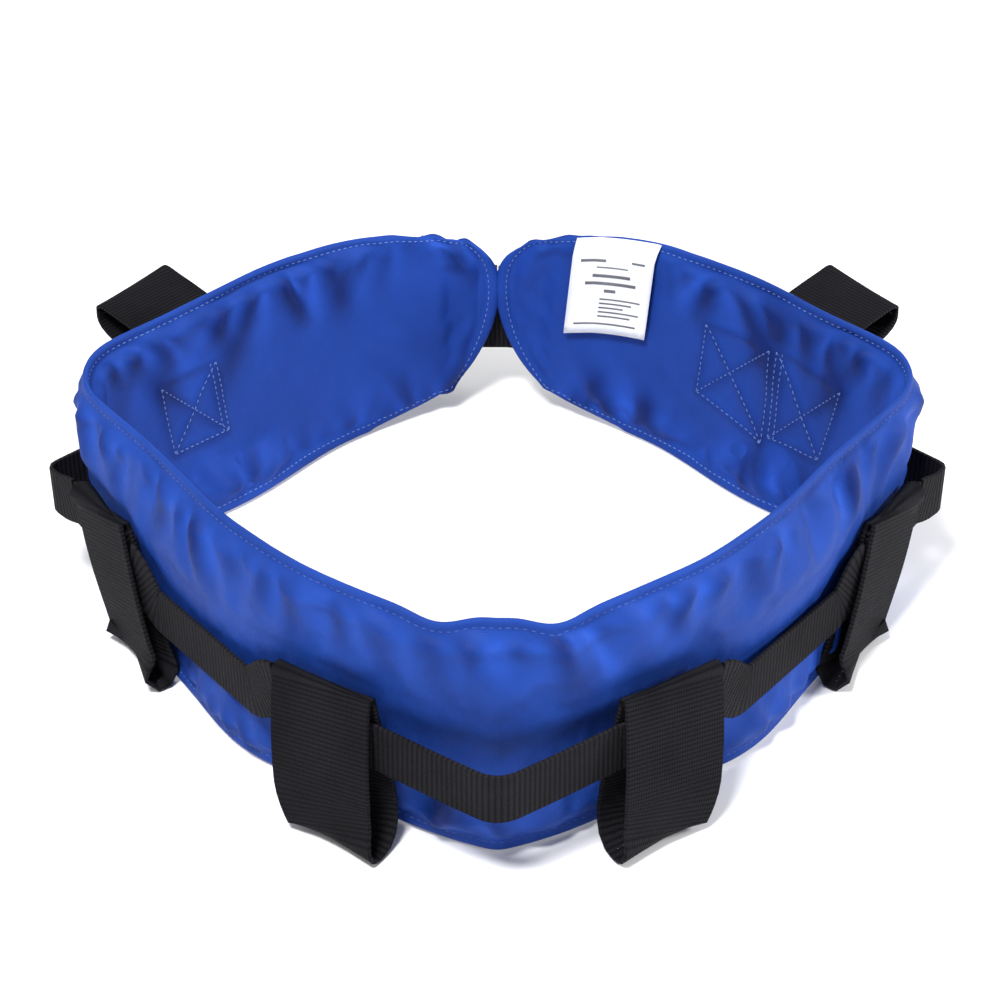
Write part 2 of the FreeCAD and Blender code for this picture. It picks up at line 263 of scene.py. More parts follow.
# webbing's dark and light stops: random drift, with painted highlight on the rib tops and painted shade in the
# grooves
HANDLE_WEB = webbing_material("handle_webbing", rgb(8, 8, 10), rgb(29, 29, 33), 1500.0, 2400.0)
STRAP_WEB = webbing_material("strap_webbing", rgb(11, 10, 12), rgb(34, 33, 37), 1250.0, 2400.0)
BUCKLE = plastic_material("buckle_plastic", rgb(26, 26, 28))
LABEL = label_material("care_label")
LABEL_MARK = thread_material("label_mark", rgb(120, 122, 126))


# ---------------------------------------------------------------- mesh helpers
def make_piece(name, vertices, faces, material, body):
    mesh = bpy.data.meshes.new(name)
    mesh.from_pydata([tuple(v) for v in vertices], [], faces)
    mesh.validate()
    mesh.materials.append(material)
    for polygon in mesh.polygons:
        polygon.use_smooth = True
    piece = bpy.data.objects.new(name, mesh)
    bpy.context.collection.objects.link(piece)
    if body:
        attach(piece, body)
    return piece


def apply_modifiers(piece):
    depsgraph = bpy.context.evaluated_depsgraph_get()
    mesh = bpy.data.meshes.new_from_object(piece.evaluated_get(depsgraph))
    piece.modifiers.clear()
    piece.data = mesh


# ---------------------------------------------------------------- the pad
SEAM = 7.5
ROLL, STITCHED = 2.1, 0.9
GRID = 4.0
TOP_LINE = [(0, 125), (200, 125), (400, 125.5), (430, 125), (452, 123.5), (488, 117), (508, 112),
            (525, 105.5)]
NOSE_LINE = [(525, 105.5), (537, 99), (545, 89), (547.8, 77), (547, 62), (542, 45), (532, 28), (519, 15)]
LOW_LINE = [(0, 0), (200, 0), (440, 0), (470, 1.8), (499, 7.5), (519, 15)]


def curve_points(points, count):
    """Evenly spaced points on a smooth curve through a few points."""
    p = [Vector((a, b)) for a, b in points]
    p = [p[0] * 2 - p[1]] + p + [p[-1] * 2 - p[-2]]
    dense = []
    for i in range(1, len(p) - 2):
        for k in range(40):
            t = k / 40
            dense.append(0.5 * (2 * p[i] + (p[i + 1] - p[i - 1]) * t
                                + (2 * p[i - 1] - 5 * p[i] + 4 * p[i + 1] - p[i + 2]) * t * t
                                + (3 * p[i] - p[i - 1] - 3 * p[i + 1] + p[i + 2]) * t ** 3))
    dense.append(p[-2])
    return resample(dense, count)


def resample(dense, positions):
    """Points at given fractions (or an even count) of a polyline's length."""
    if isinstance(positions, int):
        positions = [i / (positions - 1) for i in range(positions)]
    lengths = [0.0]
    for a, b in zip(dense[:-1], dense[1:]):
        lengths.append(lengths[-1] + (b - a).length)
    result = []
    index = 0
    for fraction in positions:
        want = fraction * lengths[-1]
        while index < len(dense) - 2 and lengths[index + 1] < want:
            index += 1
        span = lengths[index + 1] - lengths[index]
        t = (want - lengths[index]) / span if span else 0
        result.append(dense[index].lerp(dense[index + 1], t))
    return result


def rows_with_seam(length, step):
    """Fractions across a length, with lines at half and all of the seam's width from both ends."""
    inner = length - 2 * SEAM
    count = max(2, round(inner / step))
    marks = [0, SEAM * 0.5, SEAM] + [SEAM + inner * i / count for i in range(1, count)]
    marks += [length - SEAM, length - SEAM * 0.5, length]
    return [m / length for m in marks]


def pad_grid():
    """Grid of (along, z) over the whole belt, from the right tip to the left one."""
    half_top = curve_points(TOP_LINE, 400)
    half_low = curve_points(LOW_LINE, 400)
    nose = curve_points(NOSE_LINE[::-1], 200)
    mirror = lambda line: [Vector((-p.x, p.y)) for p in line]
    top = mirror(half_top[::-1]) + half_top[1:]
    low = mirror(half_low[::-1]) + half_low[1:]
    us = rows_with_seam(2 * NOSE_LINE[0][0], GRID)
    vs = rows_with_seam(HEIGHT, GRID)
    top, low = resample(top, us), resample(low, us)
    left, right = resample(nose, vs), resample(mirror(nose), vs)
    grid = []
    for i, u in enumerate(us):
        column = []
        for j, v in enumerate(vs):
            point = low[i] * (1 - v) + top[i] * v + right[j] * (1 - u) + left[j] * u
            point -= (low[0] * (1 - u) + low[-1] * u) * (1 - v) + (top[0] * (1 - u) + top[-1] * u) * v
            column.append(point)
        grid.append(column)
    return grid


HANDLE_WIDTH, HANDLE_DROP = 50.8, 72.0
STRAP_WIDTH, STRAP_THICK, STRAP_OUT = 25.0, 1.8, 7.2
STRAP_TOP = 73.5
MIDDLE = STRAP_TOP - STRAP_WIDTH / 2
FRONT_LOW = 53.0
LABEL_FOOT = 62.0
LABEL_MIDDLE, LABEL_WIDTH, LABEL_DROP, LABEL_TILT, LABEL_TOP = -475.0, 48.5, 56.0, -5.5, 0.2
# Stations: name, along the wall, axis distance out, back, reach, belly, lean at the bottom, slide, roll,
# curl, swing at rest
STATIONS = [("front", 74.0, 14.0, 4.6, 15.5, 2.2, 10.0, 0.0, 0.1, 6.0, 0.0),
            ("side", 245.0, 9.4, 5.2, 1.8, 1.0, 24.0, 6.0, 0.22, 0.0, 0.0),
            ("rear", 386.0, 12.4, 5.4, 12.0, 2.2, 4.0, 0.0, -0.18, 0.0, 96.0)]


def near_handle(along):
    """1 beside a hanging handle, falling to 0 a little way off."""
    best = 0.0
    for name, middle, *_ in STATIONS[:2]:
        gap = abs(abs(along) - middle) - HANDLE_WIDTH / 2 - 2
        best = max(best, 1 - smooth(gap / 14))
    return best


def folds(along, z, inside):
    """Broad soft billows that run from the top and bottom seams, in mm."""
    offset = 31.7 if inside else 0.0
    depth = 0.0
    for edge_gap, salt in ((HEIGHT - z, 0.0), (z, 77.0)):
        length = 30 + 30 * noise.noise(Vector((along * 0.025, salt + offset, 3.1)))
        fade = smooth(1.25 - max(edge_gap - SEAM, 0) / max(length, 14)) * smooth(edge_gap / SEAM - 0.6)
        slant = edge_gap * 0.35 * noise.noise(Vector((along * 0.01, salt + offset, 8.8)))
        depth += fade * 4.0 * noise.noise(Vector(((along + slant) * 0.062, salt + offset, edge_gap * 0.006)))
    return depth


def pucker_list():
    """Creases that start at a seam: (along, inside, from the top, length, depth, half width, slant)."""
    draw = random.Random(7)
    made = []
    for inside in (True, False):
        for from_top in (True, False):
            along = -535.0
            while along < 535:
                along += draw.uniform(7, 19)
                strong = 0.7 + 0.8 * (noise.noise(Vector((along * 0.02, 5.5 * inside, 2.0 * from_top))) + 0.4)
                length = draw.uniform(16, 56) * strong * (1.0 if from_top else 0.7)
                made.append((along, inside, from_top, length, draw.uniform(0.9, 2.5) * strong,
                             draw.uniform(2.4, 5.0), draw.uniform(-0.5, 0.5)))
    for side in (1, -1):
        for along, length, slant in ((316, 62, 0.5), (330, 44, 0.3), (378, 36, -0.2), (396, 60, -0.5),
                                     (414, 40, 0.3)):
            made.append((side * along, True, True, length, 3.2, 4.6, side * slant))
    return made


PUCKERS = pucker_list()


def beside_label(along, z, inside):
    """0 where the label lies flat on the lining, 1 away from it."""
    if not inside:
        return 1.0
    return smooth(max((abs(along + 477) - 28) / 12, (LABEL_FOOT - z) / 12))


def creases(along, z, inside):
    """Depth of the puckers at a place, in mm: a narrow valley with a soft swell each side."""
    depth = 0.0
    for start, within, from_top, length, deep, half, slant in NEAR_PUCKERS[inside, round(along / 30)]:
        gap = (HEIGHT - z if from_top else z) - SEAM
        if 0 < gap < length:
            across = (along - start - slant * gap) / (half * (1 + gap / 40))
            if abs(across) < 4:
                fade = smooth(gap / 8) * (1 - smooth(gap / length))
                swell = 0.45 * math.exp(-(abs(across) - 1.9) ** 2)
                depth -= deep * fade * (math.exp(-across * across) - swell)
    return depth * beside_label(along, z, inside)


def box_lines(corners, doubled):
    """A sewn box with a cross in it, from its corners (top start, top end, low end, low start).

    Its top edge comes first. Where it is doubled, a second line runs just inside its end."""
    top_start, top_end, low_end, low_start = corners
    lines = [[top_start, top_end], [top_end, low_end], [low_end, low_start], [low_start, top_start]]
    lines += [[top_start, low_end], [top_end, low_start]]
    if doubled:
        inside = math.copysign(3.4, top_start[0] - top_end[0])
        lines.append([(top_end[0] + inside, top_end[1]), (low_end[0] + inside, low_end[1])])
    return lines


BOXES = {
    "box_stitch_left": box_lines([(332, 89), (369, 88), (374, 45), (338, 47)], True),
    "box_stitch_right_front": box_lines([(-328, 89), (-371, 93), (-372, 41), (-339, 43)], True),
    "box_stitch_right_rear": box_lines([(-417, 90), (-375, 92), (-376, 36), (-421, 47.5)], False),
}


def nearest_box_line(along, z):
    """Distance in mm to the nearest sewn line of a box."""
    best = 99.0
    for lines in BOXES.values():
        if abs(along - lines[0][0][0]) > 99:
            continue
        for (a, b), (c, d) in lines:
            run, rise = c - a, d - b
            t = min(max(((along - a) * run + (z - b) * rise) / (run * run + rise * rise), 0.0), 1.0)
            best = min(best, math.hypot(along - a - run * t, z - b - rise * t))
    return best


def by_place(puckers):
    """The puckers that may reach each 30 mm stretch of the wall."""
    near = {}
    for inside in (True, False):
        for cell in range(-20, 21):
            near[inside, cell] = [p for p in puckers if p[1] == inside and abs(p[0] - 30 * cell) < 60]
    return near


NEAR_PUCKERS = by_place(PUCKERS)


def pad_offset(along, z, inside):
    """Distance of the pad's surface from mid wall before it is inflated, in mm."""
    side = abs(along)
    lean = -4.0 * math.exp(-((side - 245) / 45) ** 2) * smooth((62 - z) / 40)
    if inside:
        belly = 1.2 * noise.noise(Vector((along * 0.012, z * 0.02, 9.0)))
        return -4.6 + lean * 0.8 + belly + 1.3 * folds(along, z, True)
    cinch = 2.2 * math.exp(-((z - 55) / 13) ** 2)
    puff = 3.6 * math.exp(-((z - 93) / 17) ** 2) * (1 - 0.6 * smooth((side - 150) / 60))
    return 4.4 + lean - cinch + puff + folds(along, z, False)


def rim_rise(along, z):
    """The rim's dips each side of the front centre, in mm."""
    dip = -3.5 * math.exp(-((abs(along) - 27) / 12) ** 2)
    sag = -1.6 * smooth((abs(along) - 8) / 14) * (1 - smooth((abs(along) - 80) / 50))
    sway = 1.2 * noise.noise(Vector((along * 0.02, 5.0, 0.0)))
    return (dip + sag + sway) * smooth((z - 85) / 35)


def rim_lean(along, z):
    """How far the rim leans out, in mm: in at the front centre, out beside it, and in at the sides."""
    side = abs(along)
    lean = 2.0 * smooth((side - 12) / 20) * (1 - smooth((side - 90) / 40))
    lean -= 4.5 * math.exp(-(along / 14) ** 2)
    lean -= 4.0 * math.exp(-((side - 190) / 50) ** 2)
    lean += 3.0 * math.exp(-((side - 312) / 28) ** 2) + 3.0 * math.exp(-((side - 400) / 45) ** 2)
    foot = 4.5 * math.exp(-((side - 130) / 35) ** 2) - 9.5 * math.exp(-((side - 380) / 52) ** 2)
    return lean * smooth((z - 85) / 35) + foot * smooth((45 - z) / 45)


def build_pad():
    grid = pad_grid()
    columns, rows = len(grid), len(grid[0])
    vertices, uv, pins = [], [], []
    index = {}
    for face in (1, -1):
        for i in range(columns):
            for j in range(rows):
                if steps_in(grid, i, j) == 0 and face < 0:
                    index[face, i, j] = index[1, i, j]
                    continue
                along, z = grid[i][j]
                z += rim_rise(along, z)
                steps = steps_in(grid, i, j)
                flat = face * (0.0, ROLL, STITCHED)[min(steps, 2)]
                full = pad_offset(along, z, face < 0)
                out = flat + (full - flat) * smooth((steps - 2) / 3) + rim_lean(along, z)
                index[face, i, j] = len(vertices)
                vertices.append(spot(along, out, z))
                uv.append((along, z, face))
                pins.append(part_weight(grid, i, j, face, z))
    faces = []
    for face in (1, -1):
        for i in range(columns - 1):
            for j in range(rows - 1):
                quad = [index[face, a, b] for a, b in ((i, j), (i + 1, j), (i + 1, j + 1), (i, j + 1))]
                faces.append(quad if face > 0 else quad[::-1])
    return vertices, faces, uv, pins


def steps_in(grid, i, j):
    """Grid steps from the belt's outline: the seam is sewn at step 2."""
    columns, rows = len(grid), len(grid[0])
    return min(i, columns - 1 - i, j, rows - 1 - j)


def part_weight(grid, i, j, face, z):
    """How firmly a vertex is held while the pad inflates: sewn lines and the cinched strap line."""
    if steps_in(grid, i, j) <= 2:
        return 1.0
    if face > 0 and 42 < z < 70:
        return 0.6
    return 0.05


def inflate(piece, weights):
    """Blow the pad up as cloth, held along its sewn lines, and keep the result."""
    group = piece.vertex_groups.new(name="held")
    for number, weight in enumerate(weights):
        group.add([number], weight, "REPLACE")
    rest = [v.co.copy() for v in piece.data.vertices]
    cloth = piece.modifiers.new("Cloth", "CLOTH")
    settings = cloth.settings
    settings.quality = 4
    settings.mass = 0.2
    settings.tension_stiffness = settings.compression_stiffness = 12
    settings.shear_stiffness = 6
    settings.bending_stiffness = 0.15
    settings.use_pressure = True
    settings.uniform_pressure_force = 2.2
    settings.vertex_group_mass = "held"
    settings.pin_stiffness = 1.0
    settings.effector_weights.gravity = 0
    settings.shrink_min = -0.035
    cloth.collision_settings.use_self_collision = False
    scene = bpy.context.scene
    cloth.point_cache.frame_start = 1
    cloth.point_cache.frame_end = 20
    for number in range(1, 21):
        scene.frame_set(number)
    depsgraph = bpy.context.evaluated_depsgraph_get()
    blown = [v.co.copy() for v in piece.evaluated_get(depsgraph).data.vertices]
    piece.modifiers.clear()
    piece.vertex_groups.clear()
    for vertex, start, end in zip(piece.data.vertices, rest, blown):
        move = end - start
        if move.length > 0.006:
            move *= 0.006 / move.length
        vertex.co = start + move
    scene.frame_set(1)


pad_vertices, pad_faces, pad_map, pad_pins = build_pad()
pad = make_piece("padded_wall", pad_vertices, pad_faces, COVER, None)
inflate(pad, pad_pins)


def keep_back(piece, coordinates):
    """Press the outside of the pad back where the strap and the handles lie on it."""
    for vertex, (along, z, face) in zip(piece.data.vertices, coordinates):
        plan, outward = place(along)
        out = (vertex.co * 1000 - Vector((plan.x, plan.y, vertex.co.z * 1000))).dot(outward)
        if face > 0:
            side = abs(along)
            limit = 5.0 + 9 * smooth((z - 76) / 14) + 9 * smooth((40 - z) / 14) * (1 - near_handle(along))
            if near_handle(along) > 0:
                limit = min(limit, 4.9 + 4.5 * smooth((z - 78) / 8))
            squashed = 1 - smooth((abs(side - 245) - 24) / 16)
            limit = min(limit, 4.6 - 2.0 * squashed + 12 * smooth((z - 79) / 10) + 14 * (1 - squashed))
            if out > limit:
                vertex.co += outward * (limit - out) * MM
        elif out > -2.2 and 8 < z < HEIGHT - 8 and abs(along) < 515:
            vertex.co += outward * (-2.2 - out) * MM


def crease(piece):
    """Press the puckers and the sewn boxes into the finished surface, and keep each vertex's depth in the 'fold'
    attribute, which the cover's colour turns into painted shade in valleys and painted highlight on swells.
    """
    piece.data.attributes.new("fold", "FLOAT", "POINT")
    places = piece.data.attributes["place"].data
    shade = piece.data.attributes["fold"].data
    normals = [v.normal.copy() for v in piece.data.vertices]
    for number, (vertex, normal, place_value) in enumerate(zip(piece.data.vertices, normals, places)):
        along, z, face = place_value.vector
        if abs(face) < 0.99:
            continue
        inside = face < 0
        depth = creases(along, z, inside)
        depth += 0.45 * folds(along + 9, z, inside) * beside_label(along, z, inside)
        if inside:
            depth -= 1.1 * math.exp(-(nearest_box_line(along, z) / 2.3) ** 2)
        vertex.co += normal * (depth * MM)
        # the depth also goes to the colour: painted shade where it is negative, painted highlight where it is
        # positive
        shade[number].value = depth


keep_back(pad, pad_map)
layer = pad.data.attributes.new("place", "FLOAT_VECTOR", "POINT")
for number, row in enumerate(pad_map):
    layer.data[number].vector = row
subdivision = pad.modifiers.new("Subdivision", "SUBSURF")
subdivision.levels = subdivision.render_levels = 1
apply_modifiers(pad)
crease(pad)
for polygon in pad.data.polygons:
    polygon.use_smooth = True
PAD_TREE = BVHTree.FromObject(pad, bpy.context.evaluated_depsgraph_get())


def on_pad(along, z, inside):
    """Point of the pad's surface and its normal, at a place along the wall and a height in mm."""
    start = spot(along, -30 if inside else 30, z)
    _, outward = place(along)
    ray = outward if inside else -outward
    hit, normal, _, _ = PAD_TREE.ray_cast(start, ray, 0.06)
    if hit is None:
        return None
    if normal.dot(ray) > 0:
        normal = -normal
    return hit, normal


# ---------------------------------------------------------------- stitching
STITCH, STITCH_GAP, THREAD_R, THREAD_LIFT = 2.3, 1.2, 0.3, 0.14


def stitches(lines, inside):
    """Dashed thread along lines of (along, z) on the pad."""
    vertices, faces = [], []
    for line in lines:
        dense = [Vector(p) for p in line]
        total = sum((b - a).length for a, b in zip(dense[:-1], dense[1:]))
        count = max(2, round((total + STITCH_GAP) / (STITCH + STITCH_GAP)))
        pitch = (total + STITCH_GAP) / count
        spans = [(k * pitch, (k + 1) * pitch - STITCH_GAP) for k in range(count)]
        ends = resample(dense, [f / total for span in spans for f in span])
        for a, b in zip(ends[0::2], ends[1::2]):
            samples = [on_pad(*(a.lerp(b, t)), inside) for t in (0, 0.5, 1)]
            if all(samples):
                thread(vertices, faces, samples, THREAD_R, THREAD_LIFT)
    return vertices, faces


def thread(vertices, faces, samples, radius, lift):
    """One stitch: a small rounded bar that dips into the cloth at both ends."""
    across = 6
    start = len(vertices)
    heights = (-0.25, lift, -0.25)
    points = [hit + normal * (h * MM) for (hit, normal), h in zip(samples, heights)]
    way = (points[-1] - points[0]).normalized()
    for point, (_, normal), size in zip(points, samples, (0.75, 1.0, 0.75)):
        side = way.cross(normal).normalized()
        for k in range(across):
            turn = 2 * math.pi * k / across
            vertices.append(point + (side * math.cos(turn) + normal * math.sin(turn)) * radius * size * MM)
    for ring in range(len(points) - 1):
        for k in range(across):
            a, b = start + ring * across + k, start + ring * across + (k + 1) % across
            faces.append([a, b, b + across, a + across])
    faces.append([start + k for k in range(across)][::-1])
    faces.append([start + (len(points) - 1) * across + k for k in range(across)])


def seam_line():
    """The sewn line just inside the pad's outline, as a closed loop of (along, z)."""
    grid = pad_grid()
    n, m = len(grid), len(grid[0])
    path = [(i, 2) for i in range(2, n - 2)] + [(n - 3, j) for j in range(3, m - 2)]
    path += [(i, m - 3) for i in range(n - 4, 1, -1)] + [(2, j) for j in range(m - 4, 1, -1)]
    path.append((2, 2))
    return [(grid[i][j].x, grid[i][j].y + rim_rise(*grid[i][j])) for i, j in path]


def half_of(line, sign):
    """Keep the part of a line on one half of the belt."""
    kept, run = [], []
    for point in line:
        if point[0] * sign > 0:
            run.append(point)
        elif run:
            kept.append(run)
            run = []
    if run:
        kept.append(run)
    return [[p for p in ((sign * 0.5, run[0][1]), *run)] if abs(run[0][0]) < GRID else
            [*run, (sign * 0.5, run[-1][1])] for run in kept]


def sew(name, lines, inside, body):
    vertices, faces = stitches(lines, inside)
    return make_piece(name, vertices, faces, THREAD if inside else DEEP_THREAD, body)


def bend_at_front(piece, is_left):
    """Blend a piece across the front. Its rear end reaches the middle too, and stays on its own half."""
    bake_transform(piece, "right_half", "left_half", start=(0.06, FRONT_Y * MM, 0), end=(-0.06, FRONT_Y * MM, 0))
    weights = piece.data.attributes["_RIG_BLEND"].data
    for number, vertex in enumerate(piece.data.vertices):
        if vertex.co.y > 0:
            weights[number].value = 1.0 if is_left(number) else 0.0


for sign, side in ((1, "left"), (-1, "right")):
    for inside, face in ((True, "inside"), (False, "outside")):
        topstitch = sew("topstitch_%s_%s" % (face, side), half_of(seam_line(), sign), inside, None)
        bend_at_front(topstitch, lambda number: sign > 0)
for name, lines in BOXES.items():
    sew(name, lines[1:], True, "left_half" if "left" in name else "right_half")


# ---------------------------------------------------------------- webbing
def strip(name, centres, width_ways, width, thick, material, body, closed=False, widths=None):
    """A strip of webbing swept along points in mm; width_ways point across it."""
    count = len(centres)
    under = [(-0.5, -0.25), (-0.492, -0.5), (-0.3, -0.5), (0, -0.5), (0.3, -0.5), (0.492, -0.5), (0.5, -0.25)]
    profile = under + [(a, -b) for a, b in under[::-1]]
    vertices, faces, marks = [], [], []
    run = 0.0
    for k in range(count):
        before = centres[k - 1] if k or closed else centres[k]
        after = centres[(k + 1) % count] if k < count - 1 or closed else centres[k]
        way = (after - before).normalized()
        across = (width_ways[k] - way * width_ways[k].dot(way)).normalized()
        normal = way.cross(across).normalized()
        if k:
            run += (centres[k] - centres[k - 1]).length
        wide = widths[k] if widths else width
        for a, b in profile:
            vertices.append((centres[k] + across * a * wide + normal * b * thick) * MM)
            marks.append((run * MM, a * wide * MM))
    size = len(profile)
    last = count if closed else count - 1
    for k in range(last):
        for p in range(size):
            a, b = k * size + p, k * size + (p + 1) % size
            c, d = ((k + 1) % count) * size + (p + 1) % size, ((k + 1) % count) * size + p
            faces.append([a, b, c, d])
    if not closed:
        faces.append(list(range(size))[::-1])
        faces.append([(count - 1) * size + p for p in range(size)])
    piece = make_piece(name, vertices, faces, material, body)
    layer = piece.data.uv_layers.new(name="weave")
    for loop in piece.data.loops:
        layer.data[loop.index].uv = marks[loop.vertex_index]
    # shaded smooth except across the webbing's thin edges
    piece.data.set_sharp_from_angle(angle=math.radians(50))
    return piece


def rounded_route(corners, radius, step=3.0):
    """Plan points along straight runs with rounded corners, mm."""
    corners = [Vector(c) for c in corners]
    dense = [corners[0]]
    for before, corner, after in zip(corners[:-2], corners[1:-1], corners[2:]):
        into, away = (corner - before).normalized(), (after - corner).normalized()
        turn = into.angle(away)
        if turn < 0.02:
            continue
        trim = min(radius * math.tan(turn / 2), (corner - before).length * 0.45,
                   (after - corner).length * 0.45)
        a, b = corner - into * trim, corner + away * trim
        for k in range(13):
            t = k / 12
            dense.append(a * (1 - t) ** 2 + corner * 2 * t * (1 - t) + b * t * t)
    dense.append(corners[-1])
    total = sum((b - a).length for a, b in zip(dense[:-1], dense[1:]))
    return resample(dense, max(4, int(total / step)))


class Station:
    def __init__(self, name, along, out, back, reach, belly, lean, slide, roll, curl, swing, sign):
        self.name, self.back, self.reach, self.belly = name, back, reach, belly
        self.lean, self.slide, self.roll, self.curl = lean, slide, roll, curl
        self.swing, self.sign = swing, sign
        point, self.out = place(along * sign, out)
        self.axis = Vector((point.x, point.y, STRAP_TOP))
        self.run = Vector((self.out.y, -self.out.x, 0)) * sign

    def plan(self, run):
        return Vector((self.axis.x, self.axis.y, 0)) + self.run * run

    def point(self, run, out, up):
        """A point of the handle's frame, turned to how it hangs."""
        turn = math.radians(self.swing)
        o = out * math.cos(turn) - up * math.sin(turn)
        z = out * math.sin(turn) + up * math.cos(turn)
        return self.axis + self.run * run + self.out * o + UP * z


def handle_section(station, thick):
    """Middle line of a handle's webbing as (out, up), from the fold round by the outside, in mm."""
    fold = 0.9 + 0.2 + thick / 2
    drop = HANDLE_DROP
    tip = min(5.0, station.reach + station.back - 6)
    heel = station.reach + station.back - tip - 1
    corners = [(fold, 0), (station.reach, -drop + 7), (station.reach - tip, -drop),
               (-station.back + heel, -drop), (-station.back, -drop + 32), (-fold, 0)]
    points = [Vector((fold * math.cos(a), fold * math.sin(a))) for a in np.linspace(math.pi, 0, 9)]

    def side(start, end, push, count=16):
        return [Vector(start).lerp(Vector(end), t) + Vector((push * math.sin(math.pi * t), 0))
                for t in np.linspace(0, 1, count)[1:-1]]

    def turn(a, b, c, count=8):
        return [Vector(a) * (1 - t) ** 2 + Vector(b) * 2 * t * (1 - t) + Vector(c) * t * t
                for t in np.linspace(0, 1, count)]

    points += side(corners[0], corners[1], station.belly)
    points += turn(corners[1], (station.reach, -drop), corners[2])
    points += turn(corners[3], (-station.back, -drop), corners[4])
    points += side(corners[4], corners[5], 0.0)
    return points


def hung_frame(station, out, up):
    """Middle of the webbing, the way across it and its width, at a place on a handle's section."""
    fallen = -up / HANDLE_DROP
    curl = station.curl * smooth((fallen - 0.66) / 0.34)
    centre = station.point(-station.slide - station.lean * fallen - curl / 2, out, up)
    rise = station.point(0, 0, 1) - station.point(0, 0, 0)
    centre += rise * (22.0 * max(station.roll, 0.0) * smooth(fallen))
    return centre, (station.run + rise * station.roll * smooth(fallen)).normalized(), HANDLE_WIDTH - curl


def build_handle(station, body):
    thick = 2.2
    suffix = "%s_%s" % (station.name, "left" if station.sign > 0 else "right")
    centres, ways, widths = zip(*[hung_frame(station, out, up) for out, up in handle_section(station, thick)])
    loop = strip("handle_loop_" + suffix, centres, ways, HANDLE_WIDTH, thick, HANDLE_WEB, body,
                 True, widths)
    half = HANDLE_WIDTH / 2
    tilt = MIDDLE - FRONT_LOW if station.name == "front" else 0.0
    runs = np.linspace(-half - station.slide, half, 14)
    inner = [station.point(run, 0, -12.7 - tilt * smooth(0.5 - run / HANDLE_WIDTH)) for run in runs]
    up = (station.point(0, 0, 0) - station.point(0, 0, -1)).normalized()
    band = strip("strap_through_" + suffix, inner, [up] * len(inner), STRAP_WIDTH, STRAP_THICK, STRAP_WEB,
                 body)
    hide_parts("handle_" + suffix)
    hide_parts("strap_in_handle_" + suffix)
    lap_stitches(station, suffix, body)


def lap_stitches(station, suffix, body):
    """Rows of thread where the webbing's ends overlap, at the bottom inside the loop."""
    vertices, faces = [], []
    up = (station.point(0, 0, 0) - station.point(0, 0, -1)).normalized()
    for out in (-0.4, 2.2):
        middle, way, width = hung_frame(station, out + (station.reach - station.back) / 2, 1.2 - HANDLE_DROP)
        for run in np.arange(-width / 2 + 3, width / 2 - 4, 3.2):
            samples = [((middle + way * (run + step)) * MM, up) for step in (0, 1.1, 2.2)]
            thread(vertices, faces, samples, 0.32, THREAD_LIFT)
    make_piece("lap_stitch_" + suffix, vertices, faces, GREY_THREAD, body)


def strap_piece(name, corners, radius, heights, body, nodes, width=STRAP_WIDTH):
    """A run of strap in plan, with its middle height along the run."""
    route = rounded_route(corners, radius)
    total = len(route) - 1
    centres = [p + UP * heights(k / total) for k, p in enumerate(route)]
    piece = strip(name, centres, [UP] * len(centres), width, STRAP_THICK, STRAP_WEB, body)
    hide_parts(*nodes)
    return piece


def hang(high, low, ends=0.25):
    """Height along a run that hangs between two handles."""
    return lambda t: low + (high - low) * (1 - smooth(min(t, 1 - t) / ends))


HALF = HANDLE_WIDTH / 2 + 0.4
stations = {}
for sign, side in ((1, "left"), (-1, "right")):
    for row in STATIONS:
        station = Station(*row, sign)
        stations[station.name, side] = station
        build_handle(station, "handle_%s_%s" % (station.name, side))
    front, side_station, rear = (stations[n, side] for n in ("front", "side", "rear"))
    strap_piece("strap_side_run_" + side, [front.plan(HALF), side_station.plan(-HALF - 6)], 4,
                hang(MIDDLE, 46, 0.19), side + "_half", ["strap_side_" + side])
    corner = [side_station.plan(HALF), side_station.plan(HALF + 24) + side_station.out * 4,
              place(sign * 306, STRAP_OUT)[0], place(sign * 338, STRAP_OUT)[0], rear.plan(-HALF)]
    strap_piece("strap_corner_run_" + side, corner, 6, hang(MIDDLE, MIDDLE - 3, 0.12), side + "_half",
                ["strap_corner_" + side])

meet = stations["front", "left"].plan(-HALF)
run = stations["front", "left"].run
tip = meet - run * (meet.x / run.x)
strap_front = strap_piece("strap_front_run", [meet, tip, Vector((-meet.x, meet.y, 0))], 16,
                          hang(FRONT_LOW, FRONT_LOW - 0.8, 0.3), None, ["strap_front"])


def left_rear_route():
    """From the left rear handle along the wall and round the socket's bar."""
    low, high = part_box("buckle_socket")
    bar_x, bar_y = low.x * 1000 + 2, (low.y + high.y) * 500
    leave = place(438, STRAP_OUT)[0]
    axle = Vector((bar_x, bar_y, 0))
    way = axle - leave
    wrap = 3.1
    along = way.normalized()
    along.rotate(Euler((0, 0, math.asin(wrap / way.length))))
    across = UP.cross(along)
    outer, inner = axle + across * wrap, axle - across * wrap
    return [stations["rear", "left"].plan(HALF), place(424, STRAP_OUT)[0], leave, outer + along * wrap,
            inner + along * wrap, inner - along * 28]


def right_rear_route():
    """From the right rear handle along the wall, through the plug's adjuster, to the free tail."""
    low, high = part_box("buckle_plug")
    bar_x, bar_y = high.x * 1000 - 2, (low.y + high.y) * 500
    wrap = 3.1
    leave = place(-438, STRAP_OUT)[0]
    near, far = bar_x + wrap, bar_x - 11 - wrap
    points = [stations["rear", "right"].plan(HALF), place(-424, STRAP_OUT)[0], leave]
    points += [Vector((near, bar_y - wrap, 0)), Vector((far, bar_y - wrap, 0))]
    points += [Vector((far, bar_y + wrap, 0)), Vector((near, bar_y + wrap, 0))]
    back = (leave - points[3]).normalized()
    return points + [points[-1] + back * 62]


